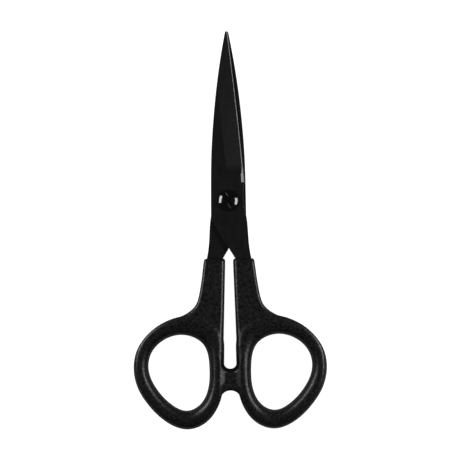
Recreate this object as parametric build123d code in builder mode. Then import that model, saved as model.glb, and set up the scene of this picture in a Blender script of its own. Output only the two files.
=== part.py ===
"""Small office scissors: two coated steel blades, two moulded handles and a screw pivot.

Frame: the scissors lie flat and closed. Z is up, Y runs along the blades towards the tip, and X goes
across to the right-hand loop. The origin is on the pivot axis, in the plane that they rest on.
All lengths are in millimetres.
"""

import os
from math import acos, cos, degrees, radians, sin

from build123d import *

# ---- levels above the resting plane ----
loop_thickness = 7.4
mid_z = loop_thickness / 2
shank_thickness = 6.4
lug_thickness = 4.6
blade_thickness = 1.5
blade_gap = 0.1
inner_z = mid_z + blade_gap / 2
outer_z = inner_z + blade_thickness

# ---- pivot hardware ----
screw_radius = 2.0
screw_chamfer = 0.25
running_clearance = 0.05
thread_clearance = 0.03
head_radius = 3.6
head_rim = 0.35
head_height = 1.55
slot_width = 1.2
slot_depth = 0.9
slot_angle = 32.0
nut_across_flats = 7.0
nut_height = 1.8
nut_chamfer = 0.35
spring_radius = 3.8
washer_radius = 4.0
washer_thickness = 0.33
washer_recess = 0.25
washer_play = 0.1

# ---- blade outline, front blade seen from above ----
tip_y = 57.5
tip_shoulder_y = 57.0
edge_tip = (0.3, tip_shoulder_y)
edge_middle = (2.9, 34.0)
edge_heel = (5.45, 6.2)
spine_tip = (-0.62, tip_shoulder_y)
spine_points = [(-2.35, 47.5), (-3.87, 36.7), (-4.97, 25.9), (-5.67, 15.0), (-5.94, 0.0)]
spine_end = (-5.98, -4.4)
heel_corner = (-5.98, -6.1)
heel_corner_radius = 2.4
waist_points = [(5.22, 5.0), (5.15, 1.0), (5.35, -2.0), (5.98, -5.0)]
shank_points = [(6.62, -12.0), (7.7, -20.0)]
shank_inner_end = (2.7, -20.6)

# ---- tang, the part of each blade that the handle is moulded around ----
tang_shoulder_y = -20.7
tang_outer_x = 7.0
tang_end_y = -41.0
tang_inner_end_x = 3.4
tang_end_radius = 1.5
anchor_hole_radius = 1.0
anchor_holes = [(5.0, -26.5), (5.1, -35.0)]

# ---- grinds on the outer face ----
ridge_heel = (-0.75, 12.0)
ridge_tip = (-3.6, 41.0)
grind_slope = 11.0
wheel_radius = 8.0
grind_reach = 60.0
grind_clear = 2.0
hone_lean = 30.0
hone_reach = 12.0

# ---- handle outline, right-hand handle seen from above ----
handle_top_y = -19.55
shank_inner_top = (1.3, handle_top_y)
shank_outer_top = (8.46, handle_top_y)
shank_outer_points = [(9.25, -25.5), (10.15, -31.0), (11.5, -35.2), (14.3, -37.9)]
shank_outer_end = (19.5, -39.9)
shank_root = [(19.0, -42.6), (8.5, -44.6), (4.9, -48.0)]
shank_inner_end_side = (2.2, -49.0)
shank_corner_radius = 0.7
shank_edge_radius = 0.9
loop_points = [
    (15.0, -38.9),
    (21.2, -40.5),
    (27.4, -44.5),
    (31.4, -49.9),
    (32.75, -56.7),
    (31.4, -63.4),
    (28.1, -68.8),
    (22.6, -74.3),
    (14.5, -77.4),
    (8.6, -75.3),
    (5.0, -71.2),
    (2.9, -65.8),
    (2.15, -59.0),
    (2.0, -52.0),
    (2.3, -46.4),
    (4.6, -42.2),
    (9.0, -39.8),
]
hole_points = [
    (15.7, -45.35),
    (22.6, -47.1),
    (26.9, -51.8),
    (27.7, -57.0),
    (25.1, -63.4),
    (20.1, -68.8),
    (14.9, -71.05),
    (10.2, -68.8),
    (7.55, -63.4),
    (7.1, -56.7),
    (9.2, -48.5),
]
loop_edge_radius = 2.2

# ---- stop lug between the handles ----
lug_face_x = 0.05
lug_top_y = -57.0
lug_bottom_y = -64.35
lug_root_x = 4.6
lug_top_radius = 2.2
lug_hollow_radius = 3.6
lug_hollow_turn = 55.0

half_turn_axis = Axis((0, 0, mid_z), (0, 1, 0))


def make_grind_cutter():
    """The stroke of a grinding wheel: a plane that falls from the ridge to the edge, with a curved end."""
    along = Vector(ridge_tip[0] - ridge_heel[0], ridge_tip[1] - ridge_heel[1], 0).normalized()
    across = Vector(along.Y, -along.X, 0)
    down_slope = across * cos(radians(grind_slope)) - Vector(0, 0, 1) * sin(radians(grind_slope))
    stroke = Plane(origin=(*ridge_heel, outer_z), x_dir=along, z_dir=down_slope)
    end_angle = degrees(acos(1 - grind_clear / wheel_radius))
    with BuildPart() as cutter:
        with BuildSketch(stroke):
            with BuildLine():
                run_out = CenterArc((0, wheel_radius), wheel_radius, 270, -end_angle)
                Polyline(run_out @ 1, (grind_reach, grind_clear), (grind_reach, 0), (0, 0))
            make_face()
        extrude(amount=hone_reach, both=True)
    return cutter.part


def make_hone_cutter():
    """The waste outside the honed bevel, which leans in from the cutting edge."""
    with BuildPart() as cutter:
        with BuildSketch(Plane.XY.offset(inner_z)):
            with BuildLine():
                cutting_edge = ThreePointArc(edge_heel, edge_middle, edge_tip)
                above_tip = cutting_edge @ 1 + (cutting_edge % 1) * hone_reach
                Polyline(
                    cutting_edge @ 1,
                    above_tip,
                    (edge_heel[0] + hone_reach, above_tip.Y),
                    (edge_heel[0] + hone_reach, edge_heel[1]),
                    edge_heel,
                )
            make_face()
        extrude(amount=blade_thickness + 0.1, taper=-hone_lean)
        split(bisect_by=Plane.XZ.offset(-edge_heel[1]), keep=Keep.BOTTOM)
    return cutter.part


def make_blade():
    """One blade with its tang, seen from its outer face, before the pivot hole is made."""
    with BuildPart() as blade:
        with BuildSketch(Plane.XY.offset(inner_z)) as outline:
            with BuildLine():
                ThreePointArc(edge_tip, ((edge_tip[0] + spine_tip[0]) / 2, tip_y), spine_tip)
                Spline(spine_tip, *spine_points, spine_end)
                Polyline(spine_end, heel_corner, shank_inner_end, (tang_inner_end_x, tang_end_y))
                Polyline(
                    (tang_inner_end_x, tang_end_y),
                    (tang_outer_x, tang_end_y),
                    (tang_outer_x, tang_shoulder_y),
                    (shank_points[-1][0], tang_shoulder_y),
                    shank_points[-1],
                )
                Spline(*reversed(shank_points), *reversed(waist_points), edge_heel)
                ThreePointArc(edge_heel, edge_middle, edge_tip)
            make_face()
            heel = outline.vertices().sort_by_distance((*heel_corner, inner_z))[0]
            fillet(heel, heel_corner_radius)
            tang_end = outline.vertices().group_by(Axis.Y)[0]
            fillet(tang_end, tang_end_radius)
            with Locations(*anchor_holes):
                Circle(anchor_hole_radius, mode=Mode.SUBTRACT)
        extrude(amount=blade_thickness)
        add(grind_cutter, mode=Mode.SUBTRACT)
        add(hone_cutter, mode=Mode.SUBTRACT)
    return blade.part


def make_loop():
    """The finger loop: a ring with an egg-shaped hole, rounded all round."""
    with BuildPart() as loop:
        with BuildSketch(Plane.XY):
            with BuildLine():
                Spline(*loop_points, periodic=True)
            make_face()
            with BuildLine():
                Spline(*hole_points, periodic=True)
            make_face(mode=Mode.SUBTRACT)
        extrude(amount=loop_thickness)
        rims = loop.edges().group_by(Axis.Z)
        fillet(rims[0] + rims[-1], loop_edge_radius)
    return loop.part


def make_shank():
    """The flat-topped neck of the handle, from the blade down into the loop."""
    with BuildPart() as shank:
        with BuildSketch(Plane.XY.offset(mid_z - shank_thickness / 2)) as outline:
            with BuildLine():
                Line(shank_inner_top, shank_outer_top)
                Spline(shank_outer_top, *shank_outer_points, shank_outer_end)
                Polyline(shank_outer_end, *shank_root, shank_inner_end_side, shank_inner_top)
            make_face()
            fillet(outline.vertices().group_by(Axis.Y)[-1], shank_corner_radius)
        extrude(amount=shank_thickness)
        rims = shank.edges().group_by(Axis.Z)
        fillet(rims[0] + rims[-1], shank_edge_radius)
    return shank.part


def make_lug():
    """The stop between the handles, with a hollow corner at each end."""
    with BuildPart() as lug:
        with BuildSketch(Plane.XY.offset(mid_z - lug_thickness / 2)):
            with BuildLine():
                Line((lug_face_x, lug_bottom_y), (lug_face_x, lug_top_y))
                JernArc((lug_face_x, lug_top_y), (1, 0), lug_top_radius, 90)
                hollow = JernArc((lug_face_x, lug_bottom_y), (1, 0), lug_hollow_radius, -lug_hollow_turn)
                Polyline(
                    (lug_face_x + lug_top_radius, lug_top_y + lug_top_radius),
                    (lug_root_x, lug_top_y + lug_top_radius),
                    (lug_root_x, (hollow @ 1).Y),
                    hollow @ 1,
                )
            make_face()
        extrude(amount=lug_thickness)
    return lug.part


grind_cutter = make_grind_cutter()
hone_cutter = make_hone_cutter()
blade_blank = make_blade()
loop_blank = make_loop()
shank_blank = make_shank()
lug_blank = make_lug()

# ---- blades ----
with BuildPart() as front_blade:
    add(blade_blank)
    with Locations((0, 0, outer_z)):
        Hole(screw_radius + running_clearance, depth=blade_thickness)

with BuildPart() as rear_blade:
    add(blade_blank.rotate(half_turn_axis, 180))
    with Locations((0, 0, mid_z - blade_gap / 2)):
        CounterBoreHole(
            radius=screw_radius + thread_clearance,
            counter_bore_radius=washer_radius + washer_play,
            counter_bore_depth=washer_recess,
            depth=blade_thickness,
        )

# ---- handles, moulded around the tangs ----
with BuildPart() as handle_blank:
    add(loop_blank)
    add(shank_blank)
    add(lug_blank)

with BuildPart() as right_handle:
    add(handle_blank.part)
    add(front_blade.part, mode=Mode.SUBTRACT)

with BuildPart() as left_handle:
    add(handle_blank.part.rotate(half_turn_axis, 180))
    add(rear_blade.part, mode=Mode.SUBTRACT)

# ---- pivot hardware ----
dome_top = outer_z + head_height
dome_rise = head_height - head_rim
dome_radius = (head_radius**2 + dome_rise**2) / (2 * dome_rise)
with BuildPart() as pivot_screw:
    with BuildSketch(Plane.XZ):
        with BuildLine():
            Polyline(
                (0, dome_top),
                (0, 0),
                (screw_radius - screw_chamfer, 0),
                (screw_radius, screw_chamfer),
                (screw_radius, outer_z),
                (head_radius, outer_z),
                (head_radius, outer_z + head_rim),
            )
            RadiusArc((0, dome_top), (head_radius, outer_z + head_rim), dome_radius)
        make_face()
    revolve(axis=Axis.Z)
    with BuildSketch(Plane.XY.offset(dome_top)):
        Rectangle(slot_width, 2 * head_radius + 1, rotation=slot_angle)
    extrude(amount=-slot_depth, mode=Mode.SUBTRACT)

with BuildPart() as pivot_nut:
    with BuildSketch():
        RegularPolygon(nut_across_flats / 2, 6, major_radius=False)
    extrude(amount=nut_height)
    with BuildSketch(Plane.XZ):
        corner = nut_across_flats / 2 / cos(radians(30))
        with BuildLine():
            Polyline(
                (0, 0),
                (corner - nut_chamfer, 0),
                (corner, nut_chamfer),
                (corner, nut_height),
                (0, nut_height),
                (0, 0),
            )
        make_face()
    revolve(axis=Axis.Z, mode=Mode.INTERSECT)
    Hole(screw_radius + thread_clearance)

with BuildPart() as disc_spring:
    with BuildSketch(Plane.XY.offset(nut_height)):
        Circle(spring_radius)
        Circle(screw_radius + running_clearance, mode=Mode.SUBTRACT)
    extrude(amount=mid_z - blade_gap / 2 - blade_thickness - nut_height)

with BuildPart() as friction_washer:
    with BuildSketch(Plane.XY.offset(mid_z - blade_gap / 2 - washer_recess)):
        Circle(washer_radius)
        Circle(screw_radius + running_clearance, mode=Mode.SUBTRACT)
    extrude(amount=washer_thickness)

# ---- one STEP file for each piece ----
os.makedirs("parts", exist_ok=True)
pieces = {
    "front_blade": front_blade,
    "rear_blade": rear_blade,
    "right_handle": right_handle,
    "left_handle": left_handle,
    "pivot_screw": pivot_screw,
    "pivot_nut": pivot_nut,
    "disc_spring": disc_spring,
    "friction_washer": friction_washer,
}
for label, piece in pieces.items():
    piece.part.label = label
    export_step(piece.part, f"parts/{label}.step")
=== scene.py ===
"""Looks of the small office scissors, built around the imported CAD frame.

The axes are the CAD model's: +Z up, +Y towards the tip, origin on the pivot axis in the plane that the
scissors rest on. Shapes are worked out in millimetres and written to meshes in metres.
"""

import math

import bmesh
import bpy
import numpy as np
from mathutils import Matrix, Vector
from mathutils.geometry import delaunay_2d_cdt


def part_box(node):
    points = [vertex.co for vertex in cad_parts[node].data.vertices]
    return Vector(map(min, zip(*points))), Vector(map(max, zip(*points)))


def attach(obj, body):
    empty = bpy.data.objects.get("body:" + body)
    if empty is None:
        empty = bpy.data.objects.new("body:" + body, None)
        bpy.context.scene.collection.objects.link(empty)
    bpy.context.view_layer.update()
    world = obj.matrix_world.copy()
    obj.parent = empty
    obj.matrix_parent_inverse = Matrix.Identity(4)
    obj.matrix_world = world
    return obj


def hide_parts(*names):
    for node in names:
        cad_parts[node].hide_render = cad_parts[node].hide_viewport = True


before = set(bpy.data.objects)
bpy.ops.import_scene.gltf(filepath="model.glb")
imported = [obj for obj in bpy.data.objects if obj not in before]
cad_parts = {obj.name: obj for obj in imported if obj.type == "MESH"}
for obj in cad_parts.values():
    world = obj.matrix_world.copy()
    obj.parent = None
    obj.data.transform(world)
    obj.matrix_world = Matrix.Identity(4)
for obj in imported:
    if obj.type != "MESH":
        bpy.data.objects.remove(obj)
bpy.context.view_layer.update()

MM = 0.001


def level(node, end):
    """The lowest (0) or highest (1) level of a CAD node, in millimetres."""
    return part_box(node)[end].z / MM


# ---- sizes read from the frame ----
loop_top = level("right_handle", 1)
mid_z = loop_top / 2
handle_top_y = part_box("right_handle")[1].y / MM
blade_high = level("front_blade", 1)
nut_top = level("pivot_nut", 1)
nut_across = (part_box("pivot_nut")[1].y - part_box("pivot_nut")[0].y) / MM
head_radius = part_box("pivot_screw")[1].x / MM
spring_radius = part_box("disc_spring")[1].x / MM
washer_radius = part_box("friction_washer")[1].x / MM

# ---- handle relief ----
# A zone is a range over which one shape turns into another. The zones above zero are distances below
# the pivot, and those below zero are places in y.
loop_edge_radius = 2.2
crown_at = 0.42
outer_power = 2.5
hole_power = 2.1
shank_half = 3.2
shank_edge = 1.1
shank_top_edge = 0.9
shank_fade = (-1.0, 2.0)
shank_limit = ((2.0, -50.0), (20.0, -41.0))
crease_blend = 0.3
gap_edge_radius = (1.5, 2.7)
gap_level_zone = (42.0, 49.0)
gap_radius_zone = (36.0, 56.0)
gap_blend = (0.55, 1.05)
limb_blend = 0.25
limb_zone = (44.5, 47.5)
gap_end_zone = (-69.5, -66.0)
lug_half = 2.75
lug_slope = 0.45
lug_crown_x = 3.75
lug_bend = 0.4
lug_blend = 0.3
lug_heel = 0.65
lug_heel_zone = (60.6, 63.2)
lug_zone = (51.5, 55.5)
lug_end_x = (5.0, 8.0)
lug_radius = (2.3, 0.6)
lug_wall = (3.2, 1.9, 6.0)
lug_side_zone = (56.0, 58.3)
lug_wall_low = 0.3
lug_wall_blend = 0.5
lug_edge_zone = (59.5, 62.0)
lug_contact_x = 0.0
outline_drop = 0.6
crown_drop = 0.4
narrowest_ring = 0.5
gap_side_x = 5.0
gap_low_y = -70.5
gap_top_margin = 0.3
crease_shift = 0.9
crease_zone = (-62.0, -43.0)
crease_start = 0.16
crease_slope = 0.5
crease_ends = ((9.0, 14.0), (44.0, 47.0))
rim_rows = (0.0, 0.01, 0.04, 0.09, 0.16, 0.26, 0.4, 0.58, 0.8, 1.05)
rim_spacing = 0.25
grid_pitch = 0.3

# ---- mesh tolerances ----
merge_distance = 0.001
weld_distance = 0.002
shortest_step = 0.004
same_face = 0.01
batch = 1500


# ---------------------------------------------------------------------------
# outlines and relief surfaces
# ---------------------------------------------------------------------------
def section_loops(node, height):
    """Closed outlines, as arrays of x and y, where a level plane cuts a CAD node."""
    bm = bmesh.new()
    bm.from_mesh(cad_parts[node].data)
    bmesh.ops.remove_doubles(bm, verts=bm.verts, dist=merge_distance * MM)
    bmesh.ops.bisect_plane(
        bm,
        geom=bm.verts[:] + bm.edges[:] + bm.faces[:],
        dist=1e-8,
        plane_co=(0, 0, height * MM),
        plane_no=(0, 0, 1),
        clear_inner=True,
        clear_outer=True,
    )

    def place_of(vert):
        return vert.co.y, vert.co.x

    # a loop starts at its lowest point and leaves it upwards, so that every run gives the same points
    loops = []
    waiting = set(bm.verts)
    while waiting:
        start = min(waiting, key=place_of)
        waiting.discard(start)
        loop = [start]
        here = start
        while True:
            ahead = [e.other_vert(here) for e in here.link_edges if e.other_vert(here) in waiting]
            if not ahead:
                break
            here = max(ahead, key=place_of)
            waiting.discard(here)
            loop.append(here)
        if len(loop) > 2:
            loops.append(np.array([(v.co.x / MM, v.co.y / MM) for v in loop]))
    bm.free()
    return sorted(loops, key=lambda loop: -np.ptp(loop[:, 0]))


def turning(loop):
    """The change of direction at each point of a closed outline, in degrees."""
    back = loop - np.roll(loop, 1, axis=0)
    ahead = np.roll(loop, -1, axis=0) - loop
    cross = back[:, 0] * ahead[:, 1] - back[:, 1] * ahead[:, 0]
    dot = (back * ahead).sum(1)
    return np.degrees(np.arctan2(cross, dot))


def counter_clockwise(loop):
    """The outline, turned round if it runs clockwise."""
    x, y = loop.T
    area = (x * np.roll(y, -1) - y * np.roll(x, -1)).sum()
    return loop if area > 0 else loop[::-1]


def even_loop(loop, spacing, corner=32.0, smoothing=3):
    """The outline with evenly spaced points. Its corners stay, and the runs between them are eased."""
    loop = counter_clockwise(loop)
    keep = loop[np.linalg.norm(loop - np.roll(loop, 1, axis=0), axis=1) > shortest_step]
    corners = np.flatnonzero(np.abs(turning(keep)) > corner)
    pinned_start = len(corners) > 0
    if not pinned_start:
        corners = np.array([0])
    points = []
    pinned = []
    for i, first in enumerate(corners):
        last = corners[(i + 1) % len(corners)]
        span = (last - first) % len(keep) or len(keep)
        run = keep[(first + np.arange(span + 1)) % len(keep)]
        length = np.concatenate([[0], np.cumsum(np.linalg.norm(np.diff(run, axis=0), axis=1))])
        count = max(2, round(length[-1] / spacing))
        at = np.linspace(0, length[-1], count + 1)[:-1]
        points.append(np.column_stack([np.interp(at, length, run[:, 0]), np.interp(at, length, run[:, 1])]))
        pinned += [pinned_start] + [False] * (count - 1)
    even = np.vstack(points)
    free = ~np.array(pinned)
    for _ in range(smoothing):
        between = (np.roll(even, 1, axis=0) + np.roll(even, -1, axis=0)) / 2
        even[free] += 0.5 * (between - even)[free]
    return even


def inward_normals(loop):
    """Unit normals to the left of a counter-clockwise outline, at its points."""
    along = np.roll(loop, -1, axis=0) - np.roll(loop, 1, axis=0)
    normal = np.column_stack([-along[:, 1], along[:, 0]])
    return normal / np.linalg.norm(normal, axis=1)[:, None]


def distance_to(points, starts, ends):
    """Distance from each point to the nearest of some straight segments."""
    run = ends - starts
    length_2 = np.maximum((run**2).sum(1), 1e-12)
    result = []
    for part in np.array_split(points, max(1, len(points) // batch)):
        rel = part[:, None, :] - starts[None]
        along = np.clip((rel * run).sum(2) / length_2, 0, 1)
        gap = rel - along[..., None] * run
        result.append(np.sqrt((gap**2).sum(2).min(1)))
    return np.concatenate(result)


def is_inside(points, loop):
    """Whether each point is inside a closed outline, by counting the edges to its right."""
    ends = np.roll(loop, -1, axis=0)
    rise = np.where(ends[:, 1] == loop[:, 1], 1e-12, ends[:, 1] - loop[:, 1])
    result = []
    for part in np.array_split(points, max(1, len(points) // batch)):
        x, y = part[:, :1], part[:, 1:]
        spans = (loop[:, 1] > y) != (ends[:, 1] > y)
        crosses = x < loop[:, 0] + (y - loop[:, 1]) * (ends[:, 0] - loop[:, 0]) / rise
        result.append((spans & crosses).sum(1) % 2 == 1)
    return np.concatenate(result)


def signed_distance(points, loop):
    """Distance from each point to a closed outline, positive inside it."""
    distance = distance_to(points, loop, np.roll(loop, -1, axis=0))
    return np.where(is_inside(points, loop), distance, -distance)


def smooth_step(value, low, high):
    """0 below low, 1 above high, and an eased rise between them."""
    t = np.clip((value - low) / (high - low), 0, 1)
    return t * t * (3 - 2 * t)


def smooth_max(a, b, blend):
    """The larger of two heights, eased over blend where both are above zero."""
    ease = blend * np.clip(np.minimum(a, b) / blend, 0, 1)
    near = np.maximum(ease - np.abs(a - b), 0)
    return np.maximum(a, b) + near**2 / (4 * np.maximum(ease, 1e-9))


def smooth_rise(value, blend):
    """The value where it is above zero, else zero, with the bend between them eased."""
    eased = (np.clip(value, -blend, blend) + blend) ** 2 / (4 * blend)
    return np.where(value > blend, value, eased)


def smooth_min(a, b, blend):
    """The smaller of two heights, eased over blend."""
    near = np.maximum(blend - np.abs(a - b), 0)
    return np.minimum(a, b) - near**2 / (4 * blend)


def rounded_top(depth, half, radius):
    """Height of a flat top that is rounded down within radius of its edge."""
    fall = np.clip(radius - depth, 0, radius)
    return half - radius + np.sqrt(radius**2 - fall**2)


def thinned(points, radii, kept=()):
    """The points in order, without any that is within its radius of one taken before it."""
    cell = grid_pitch
    grid = {}
    chosen = []

    def place(p):
        grid.setdefault((int(p[0] // cell), int(p[1] // cell)), []).append(p)

    for p in kept:
        place(p)
    for p, radius in zip(points, radii):
        column, row = int(p[0] // cell), int(p[1] // cell)
        reach = int(radius // cell) + 1
        near = (
            q
            for i in range(column - reach, column + reach + 1)
            for j in range(row - reach, row + reach + 1)
            for q in grid.get((i, j), ())
        )
        if all((p[0] - q[0]) ** 2 + (p[1] - q[1]) ** 2 > radius * radius for q in near):
            place(p)
            chosen.append(p)
    return np.array(chosen)


def hex_grid(low, high, pitch):
    """Points in staggered rows over a rectangle."""
    rows = np.arange(low[1], high[1], pitch * math.sqrt(3) / 2)
    columns = np.arange(low[0], high[0], pitch)
    return np.array([(x + (i % 2) * pitch / 2, y) for i, y in enumerate(rows) for x in columns])


def material_depth(points, outlines):
    """Distance into the material: outlines[0] is the outside, and the rest are holes."""
    depth = signed_distance(points, outlines[0])
    for hole in outlines[1:]:
        depth = np.minimum(depth, -signed_distance(points, hole))
    return depth


def relief_points(outlines, pitch):
    """Boundary points, rows that close up towards the rim, and a grid between them."""
    row_share, row_reach, grid_reach, grid_margin = 0.93, 0.45, 0.6, 0.1
    rim = np.vstack(outlines)
    normals = np.vstack([inward_normals(outlines[0])] + [-inward_normals(hole) for hole in outlines[1:]])
    rows = []
    radii = []
    for inset, before in zip(rim_rows[1:], rim_rows):
        row = rim + normals * inset
        row = row[material_depth(row, outlines) > row_share * inset]
        rows.append(row)
        radii += [row_reach * min(rim_spacing, inset - before)] * len(row)
    grid = hex_grid(rim.min(0), rim.max(0), pitch)
    grid = grid[material_depth(grid, outlines) > rim_rows[-1] + grid_margin]
    rows.append(grid)
    radii += [grid_reach * pitch] * len(grid)
    return rim, thinned(np.vstack(rows), radii, kept=rim)


def link_piece(name, bm, sharp=35.0):
    """A new object from a bmesh, smooth except where its faces turn by more than the sharp angle."""
    bmesh.ops.recalc_face_normals(bm, faces=bm.faces)
    mesh = bpy.data.meshes.new(name)
    bm.to_mesh(mesh)
    bm.free()
    mesh.shade_smooth()
    mesh.set_sharp_from_angle(angle=math.radians(sharp))
    piece = bpy.data.objects.new(name, mesh)
    bpy.context.scene.collection.objects.link(piece)
    return piece


def triangulated(points, outlines):
    """Places and triangles that fill the outlines and use every point."""
    edges = []
    first = 0
    for outline in outlines:
        count = len(outline)
        edges += [(first + i, first + (i + 1) % count) for i in range(count)]
        first += count
    flat = delaunay_2d_cdt([Vector(p) for p in points], edges, [], 1, 1e-6, False)
    places = np.array([tuple(v) for v in flat[0]])
    triangles = np.array(flat[2])
    centres = places[triangles].mean(1)
    return places, triangles[material_depth(centres, outlines) > 0]


def relief_mesh(name, outlines, height_of, middle, pitch=grid_pitch):
    """A closed solid that stands as far above the level called middle as below it."""
    rim, inner = relief_points(outlines, pitch)
    places, triangles = triangulated(np.vstack([rim, inner]), outlines)
    heights = height_of(places)
    bm = bmesh.new()
    upper = [bm.verts.new((x * MM, y * MM, (middle + h) * MM)) for (x, y), h in zip(places, heights)]
    lower = [bm.verts.new((x * MM, y * MM, (middle - h) * MM)) for (x, y), h in zip(places, heights)]
    for a, b, c in triangles.tolist():
        bm.faces.new((upper[a], upper[b], upper[c]))
        bm.faces.new((lower[c], lower[b], lower[a]))
    pairs = dict(zip(upper, lower))
    for edge in [e for e in bm.edges if e.is_boundary and e.verts[0] in pairs]:
        loop = edge.link_loops[0]
        a, b = loop.vert, loop.link_loop_next.vert
        bm.faces.new((b, a, pairs[a], pairs[b]))
    bmesh.ops.remove_doubles(bm, verts=bm.verts, dist=weld_distance * MM)
    loose = [v for v in bm.verts if not v.link_faces]
    bmesh.ops.delete(bm, geom=loose, context="VERTS")
    return link_piece(name, bm)


def rounded_profile(corners, steps=4):
    """A path through corners of (radius, height, rounding), with each corner rounded by that much."""
    path = []
    places = [np.array(c[:2], float) for c in corners]
    for i, (r, z, rounding) in enumerate(corners):
        here = places[i]
        if rounding == 0:
            path.append(here)
            continue
        back = places[i - 1] - here
        ahead = places[(i + 1) % len(places)] - here
        back, ahead = back / np.linalg.norm(back), ahead / np.linalg.norm(ahead)
        half = math.acos(np.clip(back @ ahead, -1, 1)) / 2
        reach = rounding / math.tan(half)
        start, end = here + back * reach, here + ahead * reach
        middle = here + (back + ahead) / np.linalg.norm(back + ahead) * rounding / math.sin(half)
        first, last = start - middle, end - middle
        angle = math.pi - 2 * half
        for k in range(steps + 1):
            share = k / steps
            from_first = math.sin((1 - share) * angle) / math.sin(angle)
            from_last = math.sin(share * angle) / math.sin(angle)
            path.append(middle + first * from_first + last * from_last)
    return np.array(path)


def turned_rings(bm, profile, segments):
    """One ring of vertices about the pivot axis for each (radius, height) of the profile."""
    angles = np.arange(segments) * 2 * math.pi / segments
    return [
        [bm.verts.new((r * math.cos(a) * MM, r * math.sin(a) * MM, z * MM)) for a in angles]
        for r, z in profile
    ]


def skin_rings(bm, rings):
    """Faces between each ring of vertices and the next."""
    for lower, upper in zip(rings, rings[1:]):
        for i in range(len(lower)):
            j = (i + 1) % len(lower)
            bm.faces.new((lower[i], lower[j], upper[j], upper[i]))


def turned_ring(name, corners, segments=120):
    """A ring-shaped piece: the closed profile turned about the pivot axis."""
    bm = bmesh.new()
    rings = turned_rings(bm, rounded_profile(corners), segments)
    skin_rings(bm, rings + rings[:1])
    return link_piece(name, bm)


# ---------------------------------------------------------------------------
# materials
# ---------------------------------------------------------------------------
class Finish:
    """A principled material, with short ways to add the detail that a surface shows."""

    def __init__(self, name, metallic=0.0, specular=0.5):
        self.material = bpy.data.materials.new(name)
        self.material.use_nodes = True
        self.nodes = self.material.node_tree.nodes
        self.links = self.material.node_tree.links
        self.shader = self.nodes["Principled BSDF"]
        self.shader.inputs["Metallic"].default_value = metallic
        self.shader.inputs["Specular IOR Level"].default_value = specular
        self.place = self.nodes.new("ShaderNodeTexCoord").outputs["Object"]

    def noise(self, size, detail=2.0, stretch=(1, 1, 1), turn=0.0):
        """Noise with features of about this size in millimetres, divided by stretch along each axis."""
        mapping = self.nodes.new("ShaderNodeMapping")
        mapping.vector_type = "TEXTURE"
        mapping.inputs["Rotation"].default_value = (0, 0, math.radians(turn))
        mapping.inputs["Scale"].default_value = [size * MM * s for s in stretch]
        texture = self.nodes.new("ShaderNodeTexNoise")
        texture.inputs["Scale"].default_value = 1
        texture.inputs["Detail"].default_value = detail
        self.links.new(self.place, mapping.inputs["Vector"])
        self.links.new(mapping.outputs["Vector"], texture.inputs["Vector"])
        return texture.outputs["Fac"]

    def ring_noise(self, size, detail=2.0):
        """Noise that changes only with the distance from the pivot axis, as a lathe tool leaves it."""
        level_place = self.nodes.new("ShaderNodeVectorMath")
        level_place.operation = "MULTIPLY"
        level_place.inputs[1].default_value = (1, 1, 0)
        radius = self.nodes.new("ShaderNodeVectorMath")
        radius.operation = "LENGTH"
        texture = self.nodes.new("ShaderNodeTexNoise")
        texture.noise_dimensions = "1D"
        texture.inputs["Scale"].default_value = 1 / (size * MM)
        texture.inputs["Detail"].default_value = detail
        self.links.new(self.place, level_place.inputs[0])
        self.links.new(level_place.outputs["Vector"], radius.inputs[0])
        self.links.new(radius.outputs["Value"], texture.inputs["W"])
        return texture.outputs["Fac"]

    def varied(self, socket, source, low, high):
        """Drives a shader input between low and high by a noise."""
        span = self.nodes.new("ShaderNodeMapRange")
        span.inputs["From Min"].default_value = 0.3
        span.inputs["From Max"].default_value = 0.7
        span.inputs["To Min"].default_value = low
        span.inputs["To Max"].default_value = high
        self.links.new(source, span.inputs["Value"])
        self.links.new(span.outputs["Result"], self.shader.inputs[socket])

    def tinted(self, source, dark, light):
        """Mixes the colour between two shades by a noise."""
        ramp = self.nodes.new("ShaderNodeValToRGB")
        ramp.color_ramp.elements[0].position = 0.32
        ramp.color_ramp.elements[0].color = (*dark, 1)
        ramp.color_ramp.elements[1].position = 0.68
        ramp.color_ramp.elements[1].color = (*light, 1)
        self.links.new(source, ramp.inputs["Fac"])
        self.links.new(ramp.outputs["Color"], self.shader.inputs["Base Color"])

    def raised(self, *layers):
        """Bumps the surface by several noises, each with its height in millimetres."""
        normal = None
        for source, height in layers:
            bump = self.nodes.new("ShaderNodeBump")
            bump.inputs["Distance"].default_value = height * MM
            self.links.new(source, bump.inputs["Height"])
            if normal:
                self.links.new(normal, bump.inputs["Normal"])
            normal = bump.outputs["Normal"]
        self.links.new(normal, self.shader.inputs["Normal"])


def handle_plastic():
    """Black ABS from a spark-eroded mould: fine grain, a little uneven in gloss."""
    finish = Finish("handle_plastic")
    finish.tinted(finish.noise(0.8, 3), (0.0002, 0.0002, 0.0003), (0.0225, 0.0225, 0.023))
    finish.varied("Roughness", finish.noise(0.7, 2), 0.27, 0.4)
    finish.raised((finish.noise(0.7, 3), 0.06), (finish.noise(0.16, 1), 0.008))
    return finish.material


def coated_steel():
    """Black satin coat over lengthwise belt-ground steel."""
    finish = Finish("coated_steel")
    finish.tinted(finish.noise(1.6, 3, (1, 3, 1)), (0.0045, 0.0045, 0.0047), (0.0075, 0.0075, 0.0078))
    finish.varied("Roughness", finish.noise(0.35, 2, (1, 12, 1)), 0.32, 0.42)
    finish.raised((finish.noise(0.12, 2, (1, 14, 1)), 0.003), (finish.noise(0.5, 3), 0.004))
    return finish.material


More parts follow.
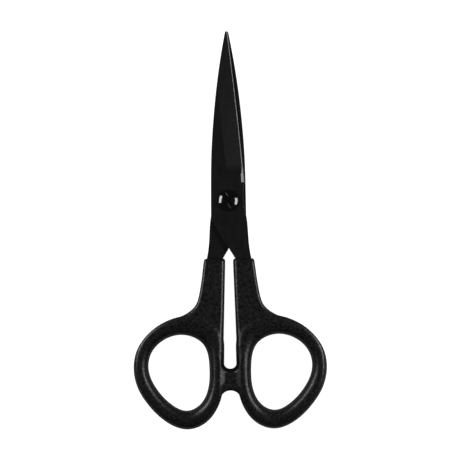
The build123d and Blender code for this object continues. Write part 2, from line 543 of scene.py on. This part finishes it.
def ground_steel():
    """The hollow of the blade: the same coat over marks that the grinding wheel left across it."""
    finish = Finish("ground_steel")
    finish.tinted(finish.noise(1.2, 3, (4, 1, 1)), (0.0055, 0.0055, 0.0057), (0.0085, 0.0085, 0.0088))
    finish.varied("Roughness", finish.noise(0.2, 2, (16, 1, 1), -9), 0.31, 0.39)
    finish.raised((finish.noise(0.1, 2, (24, 1, 1), -9), 0.004))
    return finish.material


def honed_steel():
    """Bare steel at the cutting bevel, with the hone's fine scratches straight across it."""
    finish = Finish("honed_steel", metallic=1.0)
    finish.tinted(finish.noise(0.3, 3, (1, 0.5, 6)), (0.72, 0.72, 0.73), (0.95, 0.95, 0.96))
    finish.varied("Roughness", finish.noise(0.1, 2, (10, 0.5, 10)), 0.34, 0.52)
    finish.raised((finish.noise(0.06, 2, (14, 0.5, 14)), 0.004))
    return finish.material


def black_zinc():
    """Gloss black zinc on turned steel, with faint rings left by the lathe."""
    finish = Finish("black_zinc", specular=1.0)
    finish.tinted(finish.noise(0.6, 3), (0.0014, 0.0014, 0.0015), (0.0042, 0.0042, 0.0044))
    finish.varied("Roughness", finish.noise(0.5, 3), 0.07, 0.14)
    finish.raised((finish.ring_noise(0.07), 0.0003), (finish.noise(0.6, 2), 0.0012))
    return finish.material


def spring_temper():
    """Oil-blackened spring steel, a dark blue-black."""
    finish = Finish("spring_temper", metallic=0.8)
    finish.tinted(finish.noise(0.8, 3), (0.035, 0.04, 0.055), (0.07, 0.075, 0.09))
    finish.varied("Roughness", finish.noise(0.4, 2), 0.24, 0.4)
    finish.raised((finish.ring_noise(0.09), 0.002))
    return finish.material


def washer_acetal():
    """Natural acetal, waxy and slightly uneven."""
    finish = Finish("washer_acetal")
    finish.tinted(finish.noise(0.9, 3), (0.55, 0.53, 0.47), (0.68, 0.66, 0.6))
    finish.varied("Roughness", finish.noise(0.3, 2), 0.36, 0.5)
    finish.raised((finish.noise(0.25, 2), 0.004))
    return finish.material


# ---------------------------------------------------------------------------
# handles
# ---------------------------------------------------------------------------
def make_right_handle():
    """The moulded handle: a crowned loop, a flat-topped shank that runs into it, and a thinner stop lug."""

    def outside_and_hole(height):
        return [even_loop(loop, rim_spacing) for loop in section_loops("right_handle", height)[:2]]

    outlines = outside_and_hole(mid_z - outline_drop)
    on_face = outlines[0][:, 0] < outlines[0][:, 0].min() + same_face
    outlines[0][on_face, 0] = lug_contact_x
    high = loop_top - crown_drop
    rim_drop = loop_edge_radius - math.sqrt(loop_edge_radius**2 - (high - loop_top + loop_edge_radius) ** 2)
    ring_outside, ring_hole = outside_and_hole(high)

    starts = outlines[0]
    ends = np.roll(starts, -1, axis=0)
    middles = (starts + ends) / 2
    x, y = middles.T
    on_contact = x < lug_contact_x + merge_distance
    on_gap = (x < gap_side_x) & (y > gap_low_y) & (y < handle_top_y - gap_top_margin)
    gap_starts, gap_ends = starts[on_gap & ~on_contact], ends[on_gap & ~on_contact]

    def across_ring(points):
        """How far across the loop, 0 at its outer side and 1 at its hole, and the bank at the crease."""
        x, y = points.T
        from_outside = signed_distance(points, ring_outside) + rim_drop
        from_hole = rim_drop - signed_distance(points, ring_hole)
        width = np.maximum(from_outside + from_hole, narrowest_ring)
        bank = shank_half + crease_slope * (from_outside - crease_start * width)
        near = (1 - smooth_step(x, *crease_ends[0])) * (1 - smooth_step(-y, *crease_ends[1]))
        wider = crease_shift * smooth_step(y, *crease_zone)
        return (from_outside + wider) / (width + wider), smooth_min(bank, mid_z, crease_blend) * near

    def ring_height(across):
        """The crowned section of the loop."""
        outer = np.clip((crown_at - across) / crown_at, 0, 1)
        inner = np.clip((across - crown_at) / (1 - crown_at), 0, 1)
        outer_side = (1 - outer**outer_power) ** (1 / outer_power)
        inner_side = (1 - inner**hole_power) ** (1 / hole_power)
        return mid_z * np.where(across < crown_at, outer_side, inner_side)

    def shank_height(points, depth, across):
        """The flat top of the shank, which fades out over the loop and rounds down at its end."""
        start, end = (np.array(p) for p in shank_limit)
        along = (end - start) / np.linalg.norm(end - start)
        beyond = (points - start) @ np.array([-along[1], along[0]])
        share = smooth_step(beyond, *shank_fade) * (across < crown_at)
        top_end = rounded_top(np.maximum(handle_top_y - points[:, 1], 0), shank_half, shank_top_edge)
        return np.minimum(rounded_top(depth, shank_half, shank_edge), top_end) * share

    def saddle(x, y):
        """Top of the lug: low between the loops, and rising to their crowns and to its lower edge."""
        low = lug_half + lug_heel * smooth_step(-y, *lug_heel_zone)
        flank = mid_z - lug_slope * smooth_rise(lug_crown_x - x, lug_bend)
        return smooth_max(flank, low, lug_blend)

    def gap_edge(points, top):
        """The rounded edge along the gap between the handles: its height, and the ease from it inwards."""
        x, y = points.T
        limb = smooth_step(-y, *limb_zone)
        lug = smooth_step(-y, *lug_zone)
        full = shank_half + (mid_z - shank_half) * smooth_step(-y, *gap_level_zone)
        small, large = gap_edge_radius
        radius = small + (large - small) * smooth_step(-y, *gap_radius_zone)
        inward = distance_to(points, gap_starts, gap_ends)
        edge = rounded_top(inward, full, radius)
        end = smooth_step(-y, *lug_side_zone)
        heel = smooth_step(-y, *lug_edge_zone)
        side_wall, end_wall, heel_wall = lug_wall
        steepness = side_wall + (end_wall - side_wall) * end + (heel_wall - end_wall) * heel
        wall = lug_wall_low + steepness * inward
        edge += (smooth_min(top, wall, lug_wall_blend) - edge) * lug
        radius += (lug_radius[0] + (lug_radius[1] - lug_radius[0]) * heel - radius) * lug
        first, last = (share + limb_blend * limb for share in gap_blend)
        return edge, smooth_step((inward / radius - first) / (last - first), 0, 1)

    def height_of(points):
        x, y = points.T
        depth = np.maximum(material_depth(points, outlines), 0)
        across, bank = across_ring(points)
        loop_height = np.maximum(ring_height(across), bank * (across < crown_at))
        crowned = smooth_max(loop_height, shank_height(points, depth, across), crease_blend)
        top = np.where(across < crown_at, np.maximum(saddle(x, y), crowned), crowned)
        beside_lug = smooth_step(-y, *lug_zone) * (1 - smooth_step(x, *lug_end_x))
        inner = crowned + (top - crowned) * beside_lug
        edge, ease = gap_edge(points, top)
        height = edge + (inner - edge) * ease
        height = crowned + (height - crowned) * smooth_step(y, *gap_end_zone)
        return np.minimum(height, rounded_top(np.maximum(handle_top_y - y, 0), height, shank_top_edge))

    return relief_mesh("right_handle_moulding", outlines, height_of, mid_z)


def turned_copy(piece, name):
    """The same piece for the other half, turned half a turn about the scissors' long axis."""
    other = bpy.data.objects.new(name, piece.data.copy())
    half_turn = Matrix.Translation((0, 0, mid_z * MM)) @ Matrix.Rotation(math.pi, 4, "Y")
    other.data.transform(half_turn @ Matrix.Translation((0, 0, -mid_z * MM)))
    bpy.context.scene.collection.objects.link(other)
    return other


# ---------------------------------------------------------------------------
# blades
# ---------------------------------------------------------------------------
blade_edge_angle = 25.0
blade_point = 12.0
blade_softness = 0.14
flat_angle = 0.3
honed_tilt = (0.3, 0.7)
level_tilt = 0.9995


def make_blade(node, name, outward):
    """A CAD blade with its sharper edges weighted for softening, and a material index for each way that its
    faces were worked.
    """
    bm = bmesh.new()
    bm.from_mesh(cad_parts[node].data)
    bmesh.ops.remove_doubles(bm, verts=bm.verts, dist=merge_distance * MM)
    bmesh.ops.dissolve_limit(bm, angle_limit=math.radians(flat_angle), verts=bm.verts, edges=bm.edges)
    softness = bm.edges.layers.float.new("bevel_weight_edge")
    tip_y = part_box(node)[1].y / MM
    for edge in bm.edges:
        to_tip = tip_y - max(v.co.y for v in edge.verts) / MM
        if edge.calc_face_angle(0) > math.radians(blade_edge_angle):
            edge[softness] = min(to_tip / blade_point, 1)
    coated, ground, honed = range(3)
    for face in bm.faces:
        up = face.normal.z * outward
        if honed_tilt[0] < up < honed_tilt[1]:
            face.material_index = honed
        elif honed_tilt[1] <= up < level_tilt:
            face.material_index = ground
        else:
            face.material_index = coated
    piece = link_piece(name, bm, sharp=blade_edge_angle)
    finishes = {edge.key: set() for edge in piece.data.edges}
    for face in piece.data.polygons:
        for key in face.edge_keys:
            finishes[key].add(face.material_index)
    for edge in piece.data.edges:
        if len(finishes[edge.key]) > 1:
            edge.use_edge_sharp = True
    return piece


def soften(piece, width):
    """Rounds the weighted edges a little, so that they catch the light."""
    bevel = piece.modifiers.new("soft_edges", "BEVEL")
    bevel.width = width * MM
    bevel.segments = 2
    bevel.limit_method = "WEIGHT"
    bevel.use_clamp_overlap = False
    bevel.harden_normals = True


# ---------------------------------------------------------------------------
# pivot hardware
# ---------------------------------------------------------------------------
dome_radius = 6.0
head_rim = 0.35
head_edge = (0.08, 0.05)
screw_radius = 2.0
screw_chamfer = 0.25
screw_segments = 144
screw_pitch = 0.22
dimple_radius = 0.7
dimple_shoulder = 0.25
dimple_depth = 0.35
slot_half = 0.6
slot_depth = 0.9
slot_angle = 32.0
slot_draft = 0.04
slot_edge = 0.12
slot_rows = (-slot_draft, 0.0, 0.012, 0.03, 0.055, slot_edge, 0.2)
slot_row_pitch = 0.1
slot_end_points = 13
slot_clear = 0.3
cap_radius = head_radius - 0.15
cap_margins = (0.05, 0.1)
nut_corner = 0.2
nut_corner_points = 5
nut_corner_slope = math.tan(math.radians(30))
nut_chamfer = 0.1
nut_countersink = 0.22
nut_clearance = 0.03
nut_spacing = (0.2, 0.18, 0.22)
nut_bore_points = 72
ring_clearance = 0.05
spring_sheet = 0.22
spring_edge = 0.05
washer_edge = 0.06
spring_low = level("disc_spring", 0)
spring_high = level("disc_spring", 1)
ring_bore = screw_radius + ring_clearance
spring_corners = [
    (ring_bore, spring_high, spring_edge),
    (ring_bore, spring_high - spring_sheet, spring_edge),
    (spring_radius, spring_low, spring_edge),
    (spring_radius, spring_low + spring_sheet, spring_edge),
]
washer_low = level("friction_washer", 0)
washer_high = level("friction_washer", 1)
washer_corners = [
    (ring_bore, washer_high, washer_edge),
    (ring_bore, washer_low, washer_edge),
    (washer_radius, washer_low, washer_edge),
    (washer_radius, washer_high, washer_edge),
]


def circle(radius, count):
    """Points round the pivot axis."""
    angles = np.arange(count) * 2 * math.pi / count
    return radius * np.column_stack([np.cos(angles), np.sin(angles)])


def make_screw():
    """The slotted screw: a low dome, the slot across it, and the shank down to the nut's underside."""
    dome_top = blade_high + head_rim + dome_radius - math.sqrt(dome_radius**2 - head_radius**2)
    floor = dome_top - slot_depth
    turn = math.radians(slot_angle)
    along = np.array([-math.sin(turn), math.cos(turn)])
    across = np.array([math.cos(turn), math.sin(turn)])
    edge_margin, grid_margin = cap_margins

    def dome(points):
        radius = np.hypot(points[:, 0], points[:, 1])
        return dome_top - dome_radius + np.sqrt(dome_radius**2 - radius**2)

    def height_of(points):
        offset = np.abs(points @ across)
        surface = dome(points)
        lip = rounded_top(np.maximum(offset - slot_half, 0), surface, slot_edge)
        wall = floor + (surface - slot_edge - floor) * (offset - slot_half + slot_draft) / slot_draft
        slotted = np.where(offset < slot_half, wall, lip)
        slotted = np.where(offset < slot_half - slot_draft + 1e-6, floor, slotted)
        return np.minimum(surface, slotted)

    rim = circle(cap_radius, screw_segments)
    rows = []
    lengths = np.arange(-cap_radius, cap_radius, slot_row_pitch)
    for inset in slot_rows:
        for side in (-1, 1):
            rows.append(lengths[:, None] * along + side * (slot_half + inset) * across)
    run_out = math.sqrt(dome_radius**2 - (dome_radius - slot_depth) ** 2)
    for end in (-1, 1):
        swing = np.linspace(-slot_half, slot_half, slot_end_points) / run_out
        rows.append(run_out * end * (np.cos(swing)[:, None] * along + np.sin(swing)[:, None] * across))
    points = np.vstack(rows)
    points = points[np.hypot(*points.T) < cap_radius - edge_margin]
    grid = hex_grid((-head_radius, -head_radius), (head_radius, head_radius), screw_pitch)
    off_slot = np.abs(np.abs(grid @ across) - slot_half) > slot_clear
    grid = grid[(np.hypot(*grid.T) < cap_radius - grid_margin) & off_slot]
    places, triangles = triangulated(np.vstack([rim, points, grid]), [rim])
    bm = bmesh.new()
    heights = height_of(places)
    verts = [bm.verts.new((x * MM, y * MM, z * MM)) for (x, y), z in zip(places, heights)]
    for triangle in triangles.tolist():
        bm.faces.new([verts[i] for i in triangle])
    corners = [
        (cap_radius, dome(rim[:1])[0], 0),
        (head_radius, blade_high + head_rim, head_edge[0]),
        (head_radius, blade_high, head_edge[1]),
        (screw_radius, blade_high, 0),
        (screw_radius, screw_chamfer, 0),
        (screw_radius - screw_chamfer, 0, 0),
        (dimple_radius, 0, 0),
        (dimple_radius / 2, dimple_shoulder, 0),
    ]
    rings = turned_rings(bm, rounded_profile(corners), screw_segments)
    skin_rings(bm, rings)
    centre = bm.verts.new((0, 0, dimple_depth * MM))
    last = rings[-1]
    for i in range(screw_segments):
        bm.faces.new((last[i], last[(i + 1) % screw_segments], centre))
    bmesh.ops.remove_doubles(bm, verts=bm.verts, dist=weld_distance * MM)
    return link_piece("pivot_screw_turned", bm, sharp=30)


def make_nut():
    """The hexagon nut, with chamfered corners and a countersunk bore on both faces."""
    half = nut_top / 2
    reach = (nut_across / 2 - nut_corner) / math.cos(math.pi / 6)
    outline = []
    outside_spacing, bore_spacing, pitch = nut_spacing
    for middle in reach * np.roll(circle(1, 6), 1, axis=0):
        heading = math.atan2(middle[1], middle[0])
        for turn in heading + np.linspace(-math.pi / 6, math.pi / 6, nut_corner_points):
            outline.append(middle + nut_corner * np.array([math.cos(turn), math.sin(turn)]))
    outside = even_loop(np.array(outline), outside_spacing, corner=60, smoothing=0)
    bore = even_loop(circle(screw_radius + nut_clearance, nut_bore_points), bore_spacing, smoothing=0)

    def height_of(points):
        radius = np.hypot(*points.T)
        corner_drop = nut_corner_slope * np.maximum(radius - nut_across / 2 + nut_chamfer, 0)
        bore_drop = np.maximum(screw_radius + nut_countersink - radius, 0)
        return half - corner_drop - bore_drop

    return relief_mesh("pivot_nut_hex", [outside, bore], height_of, half, pitch)


# ---------------------------------------------------------------------------
# studio
# ---------------------------------------------------------------------------
view_centre = (0.08, -9.57)
view_roll = -0.645
view_width = 155.4
camera_height = 900.0
camera_sensor = 36.0
camera_reach = 10.0
floor_half = 3.0
softbox_width = 0.056
softbox_distance = 0.2
room_level = 0.035
floor_gap = 0.01
floor_shade = 0.65
floor_glow = 0.985


def make_camera():
    """A long lens straight above the scissors, turned by a hair."""
    data = bpy.data.cameras.new("camera")
    data.sensor_width = camera_sensor
    data.lens = data.sensor_width * camera_height / view_width
    camera = bpy.data.objects.new("camera", data)
    camera.location = (view_centre[0] * MM, view_centre[1] * MM, (camera_height + mid_z) * MM)
    camera.rotation_euler = (0, 0, math.radians(view_roll))
    data.clip_end = camera_reach
    bpy.context.scene.collection.objects.link(camera)
    bpy.context.scene.camera = camera


def make_floor():
    """A pale sheet, clear from below: the camera sees it plain white, and the scissors see it lit."""
    bm = bmesh.new()
    bmesh.ops.create_grid(bm, x_segments=1, y_segments=1, size=floor_half)
    mesh = bpy.data.meshes.new("floor")
    bm.to_mesh(mesh)
    bm.free()
    floor = bpy.data.objects.new("floor", mesh)
    bpy.context.scene.collection.objects.link(floor)
    floor.location.z = -floor_gap * MM
    material = bpy.data.materials.new("floor_paper")
    material.use_nodes = True
    nodes, links = material.node_tree.nodes, material.node_tree.links
    nodes.clear()
    paper = nodes.new("ShaderNodeBsdfDiffuse")
    paper.inputs["Color"].default_value = (floor_shade, floor_shade, floor_shade, 1)
    glow = nodes.new("ShaderNodeEmission")
    glow.inputs["Strength"].default_value = floor_glow
    both = nodes.new("ShaderNodeAddShader")
    links.new(paper.outputs["BSDF"], both.inputs[0])
    links.new(glow.outputs["Emission"], both.inputs[1])
    rays = nodes.new("ShaderNodeLightPath")
    seen = nodes.new("ShaderNodeMixShader")
    links.new(rays.outputs["Is Camera Ray"], seen.inputs["Fac"])
    links.new(paper.outputs["BSDF"], seen.inputs[1])
    links.new(both.outputs["Shader"], seen.inputs[2])
    side = nodes.new("ShaderNodeNewGeometry")
    one_way = nodes.new("ShaderNodeMixShader")
    links.new(side.outputs["Backfacing"], one_way.inputs["Fac"])
    links.new(seen.outputs["Shader"], one_way.inputs[1])
    links.new(nodes.new("ShaderNodeBsdfTransparent").outputs["BSDF"], one_way.inputs[2])
    links.new(one_way.outputs["Shader"], nodes.new("ShaderNodeOutputMaterial").inputs["Surface"])
    mesh.materials.append(material)


def softbox(name, tilt, heading, length, radiance):
    """A rectangular lamp, tilt degrees from overhead, that faces the pivot."""
    data = bpy.data.lights.new(name, "AREA")
    data.shape = "RECTANGLE"
    data.size = softbox_width
    data.size_y = length
    data.energy = radiance * math.pi * data.size * data.size_y
    light = bpy.data.objects.new(name, data)
    turn = Matrix.Rotation(math.radians(heading), 4, "Z") @ Matrix.Rotation(math.radians(tilt), 4, "Y")
    light.matrix_world = turn @ Matrix.Translation((0, 0, softbox_distance))
    light.visible_camera = False
    bpy.context.scene.collection.objects.link(light)


def make_world():
    """Dim surroundings for the scissors, and plain white behind them for the camera."""
    world = bpy.data.worlds.new("studio")
    bpy.context.scene.world = world
    world.use_nodes = True
    nodes, links = world.node_tree.nodes, world.node_tree.links
    dim = nodes["Background"]
    dim.inputs["Color"].default_value = (1, 1, 1, 1)
    dim.inputs["Strength"].default_value = room_level
    white = nodes.new("ShaderNodeBackground")
    white.inputs["Color"].default_value = (1, 1, 1, 1)
    rays = nodes.new("ShaderNodeLightPath")
    seen = nodes.new("ShaderNodeMixShader")
    links.new(rays.outputs["Is Camera Ray"], seen.inputs["Fac"])
    links.new(dim.outputs["Background"], seen.inputs[1])
    links.new(white.outputs["Background"], seen.inputs[2])
    links.new(seen.outputs["Shader"], nodes["World Output"].inputs["Surface"])


# ---------------------------------------------------------------------------
# the scissors
# ---------------------------------------------------------------------------
def fit(piece, body, node, slot, *materials):
    """Gives a piece its materials, and lets it stand for a CAD node on its body."""
    for material in materials:
        piece.data.materials.append(material)
    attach(piece, body)
    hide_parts(node)


plastic = handle_plastic()
right_handle = make_right_handle()
left_handle = turned_copy(right_handle, "left_handle_moulding")
fit(right_handle, "front_half", "right_handle", "handle_plastic", plastic)
fit(left_handle, "rear_half", "left_handle", "handle_plastic", plastic)

steels = (coated_steel(), ground_steel(), honed_steel())
front_blade = make_blade("front_blade", "front_blade_steel", 1)
rear_blade = make_blade("rear_blade", "rear_blade_steel", -1)
fit(front_blade, "front_half", "front_blade", "blade_steel", *steels)
fit(rear_blade, "rear_half", "rear_blade", "blade_steel", *steels)
for blade in (front_blade, rear_blade):
    soften(blade, blade_softness)

zinc = black_zinc()
fit(make_screw(), "tension_screw", "pivot_screw", "pivot_metal", zinc)
fit(make_nut(), "rear_half", "pivot_nut", "pivot_metal", zinc)
spring = turned_ring("disc_spring_cone", spring_corners)
fit(spring, "rear_half", "disc_spring", "spring_steel", spring_temper())
washer = turned_ring("friction_washer_ring", washer_corners)
fit(washer, "rear_half", "friction_washer", "washer_plastic", washer_acetal())

make_camera()
make_floor()
softbox("right_softbox", tilt=51.5, heading=-3.5, length=0.132, radiance=7.4)
softbox("left_softbox", tilt=-55.0, heading=-11.5, length=0.145, radiance=7.9)
make_world()
bpy.context.scene.view_settings.view_transform = "Standard"
